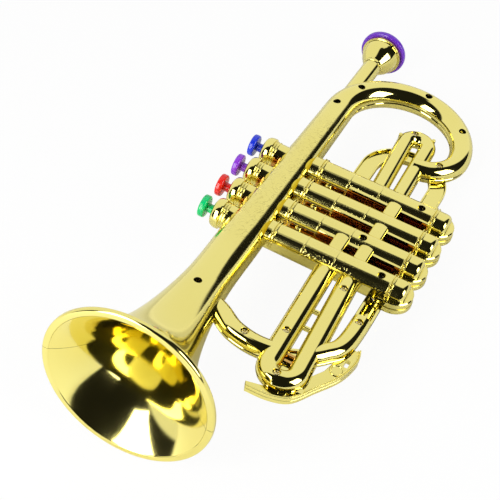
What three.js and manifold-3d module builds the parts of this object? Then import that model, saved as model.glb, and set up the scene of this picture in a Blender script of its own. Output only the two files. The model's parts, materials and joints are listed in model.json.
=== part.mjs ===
// A toy trumpet with four press buttons, moulded as front and rear half shells that are screwed
// together. Millimetres. It is drawn with the bell's axis along X, from the rim towards the
// mouthpiece, the valves along Y with their buttons at +Y, and the halves meeting at z = 0. At the
// end it is turned to lie on its side, on the bell's rim, the mouthpiece ring and the curl.
import * as THREE from 'three';
import { mergeVertices } from 'three/addons/utils/BufferGeometryUtils.js';
import Module from 'manifold-3d';

const wasm = await Module();
wasm.setup();

// Walls and fits
const wall = 1.8;
const fit = 0.3;
const overrun = 3;

// Bell, whose flare falls as a power of the distance from its rim
const bellRimRadius = 52.5;
const bellBeadRadius = 1.6;
const bellLength = 88;
const bellThroatRadius = 14.5;
const flarePower = 0.85;
const flareSpread = 1.6;
const flareSteps = 6;
const beadDegrees = [202.5, 157.5, 112.5, 67.5, 22.5, -22.5];

// Valves, set between the bell and the curl
const valveCount = 4;
const valvePitch = 22.8;
const bellToValves = 61.9;
const valvesToCurl = 66.7;
const firstValveX = bellLength + bellToValves;
const lastValveX = firstValveX + (valveCount - 1) * valvePitch;

// Casings of the valves
const casingRadius = 7.2;
const casingSkirt = 2;
const casingEndY = 101;
const casingChamfer = 1.2;
const collarRadius = 8.3;
const collarWidth = 1.6;
const upperCollarY = 15.2;
const collarToCasingEnd = 7.6;
const lowerCollarY = casingEndY - collarToCasingEnd;

// Horn tube between the bell and the curl
const hornMidToValves = 7.9;
const hornMidRadius = 13.3;
const valvesToHornSlim = 31.7;
const hornSlimRadius = 10.2;
const hornEndRadius = 9.7;
const hornMidX = firstValveX - hornMidToValves;
const hornSlimX = lastValveX + valvesToHornSlim;
const hornEndX = lastValveX + valvesToCurl;

// Pipe that takes the mouthpiece
const pipeRadius = 6.2;
const pipeLength = 56;
const pipeEndX = hornEndX + pipeLength;

// Mouthpiece and its coloured ring. The shares are of the cup's length or depth, and of the radius
// of the neck, the cup or the hole.
const shankLength = 12;
const mouthBoreRadius = 2.2;
const mouthNeckRadius = 6.5;
const mouthCupLength = 19;
const mouthCupRadius = 14;
const mouthCupDepth = 11;
const mouthNeckShares = [[0, 1], [0.3, 1.12], [0.62, 1.55]];
const mouthLipShares = [[0.86, 0.93], [0.92, 1], [1, 1]];
const mouthCupShares = [[0, 1], [0.35, 0.86], [0.75, 0.55]];
const ringRadius = 16.1;
const ringThickness = 4;
const ringHoleRadius = 10.8;
const ringRound = 1.2;

// Caps on the button side of the horn
const capRadius = 9.5;
const capNeckRadius = 8.1;
const capRingY = 15.6;
const capDomeY = 18;
const capTopY = 24.3;
const capTopRadius = 5;
const capRound = 3.4;
const capRoof = 3;

// Buttons, springs and pads
const stemRadius = 2.75;
const headRadius = 7;
const headThickness = 4;
const headRound = 1.1;
const headY = 28.5;
const buttonTravel = 3.8;
const stemCollarRadius = 4.3;
const stemCollarThickness = 1.2;
const shankRadius = 1.5;
const padRadius = 3.5;
const padThickness = 1.2;
const springCoilRadius = 3.4;
const springWire = 0.7;
const springTurns = 4;

// Reed box inside the horn tube
const boxHalfWidth = 5;
const boxWall = 1;
const boxFloorY = -6;
const boxEndRoom = 6;
const plateBottomY = 0.8;
const plateThickness = 1.2;
const portRadius = 2.5;
const reedLength = 11;
const reedWidth = 3;
const reedThickness = 0.4;
const reedFoot = 2.4;
const soundHoleHalfWidth = 1;

// Lower slide, from the first valve towards the bell
const lowerSlideRadius = 6.6;
const lowerSlideToCasingEnd = 40.4;
const lowerSlideSink = 4.3;
const lowerSlideLength = 89.2;
const lowerSlideHalfPitch = 7.7;
const lowerSlideEndHalfPitch = 8.9;
const ribDepth = 3;
const floorLength = 9;
const slideRibShares = [0.33, 0.5];
const lowerSlideY = casingEndY - lowerSlideToCasingEnd;
const lowerSlideEndY = lowerSlideY + lowerSlideSink;
const lowerSlideEndX = firstValveX - lowerSlideLength;

// Upper slide, from the last valve towards the curl
const upperSlideRadius = 5.6;
const upperSlideToCasingEnd = 41.6;
const upperSlideRise = 2.8;
const upperSlideLength = 64.3;
const upperSlideHalfPitch = 6.7;
const upperSlideEndHalfPitch = 7.5;
const upperSlideY = casingEndY - upperSlideToCasingEnd;
const upperSlideEndY = upperSlideY - upperSlideRise;
const upperSlideEndX = lastValveX + upperSlideLength;

// Main loop, from the bell's end round beside the lower slide to the first valve. Its bend's points
// are shares of its reach from the bend to the valve, and of its depth.
const mainLoopRadius = 6.6;
const mainLoopEndRadius = 5.7;
const mainLoopReach = 82.1;
const mainLoopBellLap = 4;
const mainLoopToCasingEnd = 13.7;
const mainLoopOpenLength = 31.9;
const mainLoopShares = [
  [0.13, 0.18], [0.03, 0.34], [0, 0.54], [0.065, 0.76], [0.2, 0.91], [0.39, 0.995], [1, 1],
];
const mainLoopBendX = firstValveX - mainLoopReach;
const mainLoopTopX = bellLength - mainLoopBellLap;
const mainLoopLegY = casingEndY - mainLoopToCasingEnd;
const mainLoopCoverX = firstValveX - mainLoopOpenLength;

// Loop behind the upper slide
const upperLoopRadius = 4.4;
const upperLoopLength = 56.7;
const upperLoopToSlide = 21;
const upperLoopToCasingEnd = 17.2;
const upperLoopNearY = upperSlideY - upperLoopToSlide;
const upperLoopFarY = casingEndY - upperLoopToCasingEnd;
const upperLoopBendX = lastValveX + upperLoopLength;

// Curl that turns round to the level of that loop and hooks back to the upper slide
const curlSideRadius = 8.6;
const curlSideShare = 0.4;
const curlEndRadius = 6.7;
const curlPastLoop = 1.4;
const curlHookSink = 6;
const curlRadius = (upperLoopFarY + curlPastLoop) / 2;
const curlHookRadius = 2 * curlRadius - upperSlideEndY - curlHookSink;

// Web plate, flange lobes and stubs of the valve block
const webFrontZ = -1.6;
const webThickness = 2;
const lobeRadius = 12.3;
const lobeRim = 1.4;
const lobeToCasingEnd = 6;
const lobeRimHeight = 8.6;
const stubRadius = 4.4;
const stubRingWidth = 1.4;
const stubRingStep = 0.6;
const stubToCasingEnd = 32.5;
const stubPitch = 16;
const lobeY = casingEndY - lobeToCasingEnd;
const lobeRimTopY = lobeY - lobeRimHeight;
const outerStubY = casingEndY - stubToCasingEnd;
const innerStubY = outerStubY - stubPitch;

// Hook plate around the end of the lower slide: a crescent that widens into a web. Its outline's
// points are shares of its length and depth.
const hookThickness = 4.2;
const hookWidth = 6.9;
const hookTipToSlide = 14.4;
const hookRimWidth = 1.5;
const hookRimStep = 1;
const hookLength = 37.6;
const hookToLoop = 9.8;
const hookBossRadius = 4.2;
const hookBossHeight = 2.4;
const hookBossToSlide = 17.6;
const hookBossToLoop = 2.7;
const hookOuterShares = [
  [0, 0.04], [0.015, 0.33], [0.1, 0.58], [0.33, 0.76], [0.6, 0.95], [0.85, 1.02], [1, 0.98],
];
const hookInnerShares = [[1, 0.84], [0.6, 0.72], [0.3, 0.5], [0.12, 0.2], [0.08, 0]];
const hookOuterX = lowerSlideEndX - lowerSlideEndHalfPitch - lowerSlideRadius - hookWidth;
const hookTipY = lowerSlideEndY - hookTipToSlide;
const hookPlateEndX = lowerSlideEndX + hookLength;
const hookPlateEndY = mainLoopLegY + hookToLoop;
const hookBossX = lowerSlideEndX + hookBossToSlide;
const hookBossY = mainLoopLegY + hookBossToLoop;

// Screws, and their places as shares of the curl and of the slides
const screwHeadRadius = 2.2;
const screwHeadHeight = 1.4;
const screwShankRadius = 1;
const screwSink = 1.1;
const screwPostRadius = 3;
const screwReach = 5;
const postTopShare = 0.7;
const curlSeatShares = [0.12, 0.34, 0.6, 0.86];
const lowerSeatShares = [0.29, 0.47, 0.92];
const upperSeatShare = 0.47;

// A point counts for the roll of the resting trumpet where the ground is closer to the axis than
// this share of the point's own distance
const rollReachShare = 0.995;

// Steps along the bent tubes, and how many flats stand for each full round
const curlSteps = 6;
const slideSteps = 6;
const mainLoopSteps = 14;
const upperLoopSteps = 7;
const bellFacets = 32;
const hornFacets = 20;
const tubeFacets = 12;
const slideFacets = 12;
const casingFacets = 12;
const turnedFacets = 12;
const buttonFacets = 12;
const mouthFacets = 16;
const smallFacets = 8;
const screwFacets = 6;
const lobeSegments = 6;
const hookSegments = 2;
const springSteps = 8;
const springFacets = 3;

const gold = { color: 0xe3c65a, roughness: 0.12, metalness: 1 };
const steel = { color: 0xb9b9b4, roughness: 0.35, metalness: 1 };
const brass = { color: 0xc9a24a, roughness: 0.3, metalness: 1 };
const whitePlastic = { color: 0xe8e6df, roughness: 0.5, metalness: 0 };
const rubber = { color: 0x2b2b2b, roughness: 0.9, metalness: 0 };
const purplePlastic = { color: 0x8a3fd0, roughness: 0.25, metalness: 0 };
const buttonColors = { green: 0x00c86e, red: 0xea2019, purple: 0x9438d6, blue: 0x1b35d2 };

const valveXs = Array.from({ length: valveCount }, (_, i) => firstValveX + i * valvePitch);
const headTopY = headY + headThickness;
const reach = pipeEndX + mouthCupLength + bellRimRadius;

// Closed geometry to a solid, turned the right way out.
function solid(geometry) {
  geometry.deleteAttribute('normal');
  geometry.deleteAttribute('uv');
  const merged = mergeVertices(geometry);
  const at = merged.attributes.position;
  const index = Array.from(merged.index.array);
  const triangles = [];
  let volume = 0;
  for (let i = 0; i < index.length; i += 3) {
    const [a, b, c] = index.slice(i, i + 3);
    if (a === b || b === c || c === a) continue;
    triangles.push(a, b, c);
    const corner = [a, b, c].map((k) => new THREE.Vector3().fromBufferAttribute(at, k));
    volume += corner[0].dot(corner[1].cross(corner[2]));
  }
  if (volume < 0) triangles.reverse();
  return new wasm.Manifold(new wasm.Mesh({
    numProp: 3,
    vertProperties: new Float32Array(at.array),
    triVerts: new Uint32Array(triangles),
  }));
}

function geometryOf(body) {
  const mesh = body.getMesh();
  const corners = new Float32Array(mesh.vertProperties);
  const geometry = new THREE.BufferGeometry();
  geometry.setAttribute('position', new THREE.BufferAttribute(corners, mesh.numProp));
  geometry.setIndex(new THREE.BufferAttribute(new Uint32Array(mesh.triVerts), 1));
  geometry.computeVertexNormals();
  return geometry;
}

const joined = (...bodies) => bodies.reduce((all, body) => all.add(body));
const cut = (body, ...tools) => tools.reduce((left, tool) => left.subtract(tool), body);
const moved = (body, x, y, z) => body.translate([x, y, z]);

// A profile of [along, radius] pairs turned about X, Y or Z.
function turned(profile, axis, facets) {
  const points = profile.map(([along, radius]) => new THREE.Vector2(radius, along));
  const geometry = new THREE.LatheGeometry(points, facets);
  if (axis === 'x') geometry.rotateZ(-Math.PI / 2);
  if (axis === 'z') geometry.rotateX(Math.PI / 2);
  return solid(geometry);
}

function rod(from, to, radius, axis, facets) {
  return turned([[from, 0], [from, radius], [to, radius], [to, 0]], axis, facets);
}

function block(low, high) {
  const size = high.map((value, i) => value - low[i]);
  const geometry = new THREE.BoxGeometry(...size);
  geometry.translate(...low.map((value, i) => value + size[i] / 2));
  return solid(geometry);
}

function plate(shape, low, high, curveSegments) {
  const depth = high - low;
  const geometry = new THREE.ExtrudeGeometry(shape, { depth, bevelEnabled: false, curveSegments });
  geometry.translate(0, 0, low);
  return solid(geometry);
}

// Closed body through rings of equal length, each joined to the next, with both end rings filled by
// the same triangles.
function ringed(rings, endTriangles) {
  const size = rings[0].length;
  const last = (rings.length - 1) * size;
  const indices = [];
  for (let i = 0; i + 1 < rings.length; i += 1) {
    for (let k = 0; k < size; k += 1) {
      const a = i * size + k;
      const b = i * size + ((k + 1) % size);
      indices.push(a, b, a + size, b, b + size, a + size);
    }
  }
  endTriangles.forEach(([a, b, c]) => indices.push(a, c, b, last + a, last + b, last + c));
  const geometry = new THREE.BufferGeometry();
  geometry.setAttribute('position', new THREE.Float32BufferAttribute(rings.flat(2), 3));
  geometry.setIndex(indices);
  return solid(geometry);
}

// Triangles that fill an outline, running the way that its points run.
function filled(outline) {
  const points = outline.map(([x, y]) => new THREE.Vector2(x, y));
  const triangles = THREE.ShapeUtils.triangulateShape(points, []);
  return THREE.ShapeUtils.isClockWise(points) ? triangles.map(([a, b, c]) => [a, c, b]) : triangles;
}

// Half of a turned body: a closed profile of [along, radius] pairs swung from one side of the seam
// to the other. Side is 1 for the front half and -1 for the rear half. A skirt lifts the round part
// by a share of its radius, and seamZ is where the half ends at the seam.
function halfTurned(profile, axis, facets, side, { skirtShare = 0, seamZ = fit / 2 } = {}) {
  const steps = Math.ceil(facets / 2);
  const swings = Array.from({ length: steps + 1 }, (_, i) => [(Math.PI * i) / steps, skirtShare]);
  if (skirtShare > 0) {
    swings.unshift([0, 0]);
    swings.push([Math.PI, 0]);
  }
  const rings = swings.map(([angle, lift]) => profile.map(([along, radius]) => {
    const across = radius * Math.cos(angle);
    const height = side * Math.max(radius * (lift + Math.sin(angle)), seamZ);
    return axis === 'x' ? [along, across, height] : [across, along, height];
  }));
  return ringed(rings, filled(profile));
}

// Places along a path: one step for a straight run, arcSteps for each curved one.
function stationsOf(path, arcSteps) {
  const curves = (path.curves ?? [path]).filter((curve) => curve.getLength() > fit);
  const length = curves.reduce((sum, curve) => sum + curve.getLength(), 0);
  const stations = [];
  let before = 0;
  curves.forEach((curve, index) => {
    const steps = curve.isLineCurve ? 1 : arcSteps;
    for (let i = index === 0 ? 0 : 1; i <= steps; i += 1) {
      stations.push({
        centre: curve.getPointAt(i / steps),
        along: curve.getTangentAt(i / steps),
        share: (before + (curve.getLength() * i) / steps) / length,
      });
    }
    before += curve.getLength();
  });
  return stations;
}

// A solid round tube along a path in the seam's plane; its radius follows the share of the path.
function swept(path, radiusAt, arcSteps, facets) {
  const rings = stationsOf(path, arcSteps).map(({ centre, along, share }) => {
    const radius = radiusAt(share);
    return Array.from({ length: facets }, (_, k) => {
      const angle = (2 * Math.PI * k) / facets;
      const side = radius * Math.cos(angle);
      return [centre.x - along.y * side, centre.y + along.x * side, radius * Math.sin(angle)];
    });
  });
  const fan = Array.from({ length: facets - 2 }, (_, k) => [0, k + 1, k + 2]);
  return ringed(rings, fan);
}

// Half of a hollow tube along such a path: a half-round wall with its edges on the seam.
function halfSwept(path, radiusAt, arcSteps, facets, side) {
  const half = Math.ceil(facets / 2);
  const angles = Array.from({ length: half + 1 }, (_, k) => (Math.PI * k) / half);
  const arc = (radius) => angles.map((angle) => [
    radius * Math.cos(angle), Math.max(radius * Math.sin(angle), fit / 2),
  ]);
  const section = (radius) => [...arc(radius), ...arc(radius - wall).reverse()];
  const rings = stationsOf(path, arcSteps).map(({ centre, along, share }) => section(radiusAt(share)).map(
    ([across, height]) => [centre.x - along.y * across, centre.y + along.x * across, side * height],
  ));
  return ringed(rings, filled(section(radiusAt(0))));
}

// Bell: a rolled bead with a flat front, then the flare
const flareLength = bellLength / ((bellRimRadius / bellThroatRadius) ** (1 / flarePower) - 1);
const flareRadius = (x) => bellRimRadius * (1 + x / flareLength) ** -flarePower;

const flareXs = Array.from({ length: flareSteps + 1 }, (_, i) => {
  const start = 2 * bellBeadRadius;
  return start + (bellLength - start) * (i / flareSteps) ** flareSpread;
});

function bellHalf(side) {
  const bead = beadDegrees.map((degrees) => {
    const angle = THREE.MathUtils.degToRad(degrees);
    const x = bellBeadRadius * (1 + Math.cos(angle));
    return [x, bellRimRadius - bellBeadRadius * (1 - Math.sin(angle))];
  });
  const outer = flareXs.map((x) => [x, flareRadius(x)]);
  const inner = flareXs.slice(0, -1).map((x) => {
    const slope = (-flarePower * flareRadius(x)) / (flareLength + x);
    const length = Math.hypot(1, slope);
    return [x + (wall * slope) / length, flareRadius(x) - wall / length];
  });
  const throat = [bellLength, bellThroatRadius - wall];
  return halfTurned([...bead, ...outer, throat, ...inner.reverse()], 'x', bellFacets, side);
}

// Horn tube: straight tapers, with holes for the springs and stems on the button side.
const hornStations = [
  [bellLength + fit, bellThroatRadius],
  [hornMidX, hornMidRadius],
  [hornSlimX, hornSlimRadius],
  [hornEndX - fit, hornEndRadius],
];
const springRoom = springCoilRadius + springWire + fit;

function hornHalf(side) {
  const inner = hornStations.map(([x, radius]) => [x, radius - wall]).reverse();
  const hole = rod(0, hornMidRadius + overrun, springRoom, 'y', smallFacets);
  const holes = valveXs.map((x) => moved(hole, x, 0, 0));
  return cut(halfTurned([...hornStations, ...inner], 'x', hornFacets, side), ...holes);
}

// What the horn fills, grown by a fit, to cut its neighbours by
const hornSolid = joined(
  turned([
    [flareXs[0], 0], ...flareXs.map((x) => [x, flareRadius(x) + fit]), [bellLength, 0],
  ], 'x', hornFacets),
  turned([
    [bellLength - fit, 0], [bellLength - fit, bellThroatRadius + fit],
    ...hornStations.map(([x, radius]) => [x, radius + fit]), [hornEndX + fit, 0],
  ], 'x', hornFacets),
);

// Curl and mouthpipe in one moulding
const curlPath = new THREE.Path()
  .absarc(hornEndX, -curlRadius, curlRadius, Math.PI / 2, -Math.PI / 2, true)
  .absarc(hornEndX, -2 * curlRadius + curlHookRadius, curlHookRadius, -Math.PI / 2, -Math.PI, true);

function curlRadiusAt(share) {
  const { lerp } = THREE.MathUtils;
  if (share < curlSideShare) return lerp(hornEndRadius, curlSideRadius, share / curlSideShare);
  return lerp(curlSideRadius, curlEndRadius, (share - curlSideShare) / (1 - curlSideShare));
}

// Two legs and a half-round bend: the legs leave a valve at fromX and spread a little to toX.
function slidePath(fromX, toX, fromY, toY, fromHalf, toHalf) {
  const towardsCurl = toX > fromX;
  return new THREE.Path()
    .moveTo(fromX, -fromY + fromHalf)
    .lineTo(toX, -toY + toHalf)
    .absarc(toX, -toY, toHalf, Math.PI / 2, towardsCurl ? -Math.PI / 2 : 1.5 * Math.PI, towardsCurl)
    .lineTo(fromX, -fromY - fromHalf);
}

const lowerSlidePath = slidePath(
  firstValveX, lowerSlideEndX, lowerSlideY, lowerSlideEndY, lowerSlideHalfPitch, lowerSlideEndHalfPitch,
);
const upperSlidePath = slidePath(
  lastValveX, upperSlideEndX, upperSlideY, upperSlideEndY, upperSlideHalfPitch, upperSlideEndHalfPitch,
);
const lowerSlideBody = (grow) => swept(
  lowerSlidePath, () => lowerSlideRadius + grow, slideSteps, slideFacets,
);
const upperSlideBody = (grow) => swept(
  upperSlidePath, () => upperSlideRadius + grow, slideSteps, slideFacets,
);

const mainLoopPath = new THREE.SplineCurve([
  new THREE.Vector2(mainLoopTopX, 0),
  ...mainLoopShares.map(([xShare, yShare]) => new THREE.Vector2(
    mainLoopBendX + xShare * mainLoopReach, -yShare * mainLoopLegY,
  )),
]);
const mainLoopRadiusAt = (share) => mainLoopRadius + share * (mainLoopEndRadius - mainLoopRadius);
const mainLoopBody = (grow) => swept(
  mainLoopPath, (share) => mainLoopRadiusAt(share) + grow, mainLoopSteps, slideFacets,
);

const upperLoopHalfSpan = (upperLoopFarY - upperLoopNearY) / 2;
const upperLoopPath = new THREE.Path()
  .moveTo(lastValveX, -upperLoopNearY)
  .lineTo(upperLoopBendX - upperLoopHalfSpan, -upperLoopNearY)
  .absarc(
    upperLoopBendX - upperLoopHalfSpan, -(upperLoopNearY + upperLoopHalfSpan), upperLoopHalfSpan,
    Math.PI / 2, -Math.PI / 2, true,
  )
  .lineTo(lastValveX, -upperLoopFarY);
const upperLoopBody = (grow) => swept(
  upperLoopPath, () => upperLoopRadius + grow, upperLoopSteps, slideFacets,
);

// Casing of one valve: a barrel with double collars, closed at its lower end and bored inside.
const collarRadii = [casingRadius, collarRadius, casingRadius, collarRadius, casingRadius];
const collarPair = (y) => collarRadii.map((radius, step) => [-y - (step * collarWidth) / 2, radius]);
const casingOutside = [
  [0, casingRadius], ...collarPair(upperCollarY), ...collarPair(lowerCollarY),
  [-casingEndY + casingChamfer, casingRadius], [-casingEndY, casingRadius - casingChamfer], [-casingEndY, 0],
];
const plainOutside = [casingOutside[0], ...casingOutside.slice(-3)];
const boreProfile = [
  [-casingEndY + wall, 0], [-casingEndY + wall, casingRadius - wall],
  [-upperCollarY, casingRadius - wall], [-upperCollarY, 0],
];
const grownCasing = plainOutside.map(([y, radius]) => [y < 0 ? y - fit : y, radius === 0 ? 0 : radius + fit]);
const skirtShareOf = (side) => (side > 0 ? casingSkirt / casingRadius : 0);
const casingRoom = joined(...valveXs.flatMap((x) => [1, -1].map((side) => moved(halfTurned(
  [...grownCasing, [0, 0]], 'y', casingFacets, side, { skirtShare: skirtShareOf(side), seamZ: 0 },
), x, 0, 0))));

// Screw seats on the shells: their place, the height of the moulded surface there, and the post
// that reaches into the wall under it.
const seatOn = (point, surfaceZ, rearZ = surfaceZ) => ({
  x: point.x,
  y: point.y,
  headZ: surfaceZ - screwSink,
  frontTop: surfaceZ - postTopShare * wall,
  rearTop: rearZ - postTopShare * wall,
});

const shankRoom = ({ x, y }) => moved(
  rod(-screwReach - fit, reach, screwShankRadius + fit, 'z', screwFacets), x, y, 0,
);

// Each half gets a post under every seat: the front one is sunk for the head, and both are bored
// for the shank.
function withScrews(body, seats, side) {
  const posts = seats.map(({ x, y, frontTop, rearTop }) => moved(
    side > 0
      ? rod(fit / 2, frontTop, screwPostRadius, 'z', screwFacets)
      : rod(-rearTop, -fit / 2, screwPostRadius, 'z', screwFacets), x, y, 0,
  ));
  const sinks = seats.map(({ x, y, headZ }) => moved(
    rod(headZ - screwHeadHeight, reach, screwHeadRadius + fit, 'z', screwFacets), x, y, 0,
  ));
  return cut(joined(body, ...posts), ...seats.map(shankRoom), ...(side > 0 ? sinks : []));
}

function screw({ x, y, headZ }) {
  const under = headZ - screwHeadHeight + fit;
  return moved(turned([
    [-screwReach, 0], [-screwReach, screwShankRadius], [under, screwShankRadius],
    [under, screwHeadRadius], [headZ, screwHeadRadius], [headZ, 0],
  ], 'z', screwFacets), x, y, 0);
}

const bellSeatX = bellLength - 2 * screwPostRadius;
const casingTopZ = casingRadius + casingSkirt;
const lowSeatY = (casingEndY + outerStubY) / 2;
const stubSeatY = (innerStubY + outerStubY) / 2;
const blockSeatPlaces = [[valveXs[0], lowSeatY], [valveXs[1], stubSeatY], [lastValveX, lowSeatY]];
const bellSeats = [seatOn({ x: bellSeatX, y: 0 }, flareRadius(bellSeatX))];
const curlSeats = curlSeatShares.map((share) => seatOn(curlPath.getPointAt(share), curlRadiusAt(share)));
const lowerSeats = lowerSeatShares.map((share) => seatOn(lowerSlidePath.getPointAt(share), lowerSlideRadius));
const upperSeats = [seatOn(upperSlidePath.getPointAt(upperSeatShare), upperSlideRadius)];
const blockSeats = blockSeatPlaces.map(([x, y]) => seatOn({ x, y: -y }, casingTopZ, casingRadius));

// Valve block. Stubs join neighbouring casings, each with a raised ring at one end.
function stub(index, y, side) {
  const from = valveXs[index];
  const halfRod = (to, radius) => halfTurned(
    [[from, 0], [from, radius], [to, radius], [to, 0]], 'x', slideFacets, side,
  );
  return moved(joined(
    halfRod(from + valvePitch, stubRadius),
    halfRod(from + casingRadius + stubRingWidth, stubRadius + stubRingStep),
  ), 0, -y, 0);
}

const stubPlaces = [[0, innerStubY], [0, outerStubY], [1, outerStubY], [2, outerStubY]];

function valveBlock(side) {
  const skirtShare = skirtShareOf(side);
  const outside = [...(side > 0 ? casingOutside : plainOutside), [0, 0]];
  const barrels = valveXs.map((x) => moved(
    halfTurned(outside, 'y', casingFacets, side, { skirtShare }), x, 0, 0,
  ));
  const bores = valveXs.map((x) => moved(
    halfTurned(boreProfile, 'y', casingFacets, side, { skirtShare, seamZ: 0 }), x, 0, 0,
  ));
  const stubs = stubPlaces.map(([index, y]) => stub(index, y, side));
  const solidHalf = joined(...barrels, ...stubs, ...(side > 0 ? [] : [blockWeb()]));
  return withScrews(cut(solidHalf, ...bores, hornSolid), blockSeats, side);
}

// Web behind the casings, with a lobe round each casing's lower end and a rim along the lobes.
function lobedOutline(radius, centreY, topY) {
  const shape = new THREE.Shape();
  const half = Math.min(valvePitch / 2, radius);
  const cusp = Math.acos(half / radius);
  shape.moveTo(firstValveX - radius, -topY);
  valveXs.forEach((x, i) => {
    const from = i === 0 ? Math.PI : Math.PI + cusp;
    const to = i === valveCount - 1 ? 2 * Math.PI : 2 * Math.PI - cusp;
    shape.absarc(x, -centreY, radius, from, to, false);
  });
  shape.lineTo(lastValveX + radius, -topY);
  return shape;
}

function blockWeb() {
  const back = webFrontZ - webThickness;
  const web = block([firstValveX, -lobeY, back], [lastValveX, -upperCollarY - 2 * collarWidth, webFrontZ]);
  const outside = lobedOutline(lobeRadius, lobeY, lobeRimTopY);
  const inside = lobedOutline(lobeRadius - lobeRim, lobeY - fit, lobeRimTopY - overrun);
  const rim = cut(
    plate(outside, back, -fit / 2, lobeSegments),
    plate(inside, webFrontZ, overrun, lobeSegments),
  );
  return joined(web, rim);
}

// What the lobed rim fills, grown by a fit
const lobeRoom = plate(
  lobedOutline(lobeRadius + fit, lobeY, lobeRimTopY - fit), webFrontZ - webThickness - fit, fit, lobeSegments,
);

// Curl with the mouthpipe in line with the horn, butted on the slide and the loop behind it
function curlHalf(side) {
  const pipeFromX = hornEndX + curlSideRadius;
  const pipe = halfTurned([
    [pipeFromX, 0], [pipeFromX, pipeRadius], [pipeEndX, pipeRadius], [pipeEndX, 0],
  ], 'x', slideFacets, side);
  const inside = swept(curlPath, (share) => curlRadiusAt(share) - wall, curlSteps, tubeFacets);
  const shell = joined(halfSwept(curlPath, curlRadiusAt, curlSteps, tubeFacets, side), cut(pipe, inside));
  const bore = rod(pipeFromX, pipeEndX + overrun, pipeRadius - wall, 'x', slideFacets);
  return cut(withScrews(shell, curlSeats, side), bore, upperSlideBody(fit), upperLoopBody(fit));
}

// Slides and loops, butted on the casings
function lowerSlide(side) {
  const shell = halfSwept(lowerSlidePath, () => lowerSlideRadius, slideSteps, slideFacets, side);
  const whole = side > 0 ? shell : joined(shell, slideBridge());
  return cut(withScrews(whole, lowerSeats, side), casingRoom);
}

function upperSlide(side) {
  const shell = halfSwept(upperSlidePath, () => upperSlideRadius, slideSteps, slideFacets, side);
  return cut(withScrews(shell, upperSeats, side), casingRoom);
}

// Behind the slot of the lower slide: two cross ribs, and a floor at the bend.
function slideBridge() {
  const spanY = [-lowerSlideEndY - lowerSlideEndHalfPitch, -lowerSlideY + lowerSlideHalfPitch];
  const ribs = slideRibShares.map((share) => {
    const x = lowerSlideEndX + share * (firstValveX - lowerSlideEndX);
    return block([x, spanY[0], -ribDepth], [x + wall, spanY[1], -fit / 2]);
  });
  const floor = block(
    [lowerSlideEndX - wall, spanY[0], -lowerSlideRadius + wall],
    [lowerSlideEndX + floorLength, -lowerSlideEndY + lowerSlideEndHalfPitch, -ribDepth],
  );
  return cut(joined(...ribs, floor), swept(
    lowerSlidePath, () => lowerSlideRadius - wall / 2, slideSteps, slideFacets,
  ));
}

// The slides cut the loops in two: a near stretch towards the horn and a far one beyond the slide.
const nearSide = (slideEndY, slideHalf) => block(
  [-reach, -slideEndY + slideHalf, -reach], [reach, reach, reach],
);
const farSide = (slideEndY, slideHalf) => block(
  [-reach, -reach, -reach], [reach, -slideEndY - slideHalf, reach],
);

function mainLoop(side, part) {
  const shell = halfSwept(mainLoopPath, mainLoopRadiusAt, mainLoopSteps, slideFacets, side);
  return cut(shell, casingRoom, lobeRoom, hornSolid, lowerSlideBody(fit)).intersect(part);
}

function upperLoop(side, part) {
  const shell = halfSwept(upperLoopPath, () => upperLoopRadius, upperLoopSteps, slideFacets, side);
  return cut(shell, casingRoom, lobeRoom, upperSlideBody(fit), ...curlSeats.map(shankRoom)).intersect(part);
}

// Cap of one valve: a collar ring and a domed top with a hole for the stem, hollow for the spring.
function valveCap(x) {
  const roof = capTopY - capRoof;
  const room = stemCollarRadius + fit;
  const profile = [
    [0, room], [0, capNeckRadius],
    [capRingY, capNeckRadius], [capRingY + collarWidth / 2, collarRadius + fit],
    [capRingY + collarWidth, capNeckRadius], [capDomeY, capNeckRadius], [capDomeY, capRadius],
    [capTopY - capRound, capRadius], [capTopY, capTopRadius], [capTopY, stemRadius + fit],
    [roof, stemRadius + fit], [roof, room],
  ];
  return cut(moved(turned([...profile, profile[0]], 'y', turnedFacets), x, 0, 0), hornSolid);
}

// Button: head, stem with its stop collar under the cap, and a slim shank that carries the pad.
const collarTopY = capTopY - capRoof - fit;
const shankTopY = plateBottomY + plateThickness + buttonTravel + fit;
const padTopY = plateBottomY - fit;

function button(x) {
  const profile = [
    [padTopY, 0], [padTopY, shankRadius], [shankTopY, shankRadius], [shankTopY, stemRadius],
    [collarTopY - stemCollarThickness, stemRadius], [collarTopY - stemCollarThickness, stemCollarRadius],
    [collarTopY, stemCollarRadius], [collarTopY, stemRadius], [headY, stemRadius],
    [headY, headRadius - headRound], [headY + headRound, headRadius], [headTopY - headRound, headRadius],
    [headTopY, headRadius - headRound], [headTopY, 0],
  ];
  return moved(turned(profile, 'y', buttonFacets), x, 0, 0);
}

function pad(x) {
  const top = padTopY - fit;
  return moved(rod(top - padThickness, top, padRadius, 'y', smallFacets), x, 0, 0);
}

// Compression spring from the port plate to the stem's collar: one unbroken wire.
const springLowY = plateBottomY + plateThickness + fit + springWire / 2;
const springHighY = collarTopY - stemCollarThickness - fit - springWire / 2;

function spring(x) {
  const steps = springTurns * springSteps;
  const rings = Array.from({ length: steps + 1 }, (_, i) => {
    const turn = (2 * Math.PI * i) / springSteps;
    const y = springLowY + (i / steps) * (springHighY - springLowY);
    return Array.from({ length: springFacets }, (__, k) => {
      const angle = (2 * Math.PI * k) / springFacets;
      const radius = springCoilRadius + (springWire / 2) * Math.cos(angle);
      return [x + radius * Math.cos(turn), y + (springWire / 2) * Math.sin(angle), radius * Math.sin(turn)];
    });
  });
  const fan = Array.from({ length: springFacets - 2 }, (_, k) => [0, k + 1, k + 2]);
  return ringed(rings, fan);
}

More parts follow.
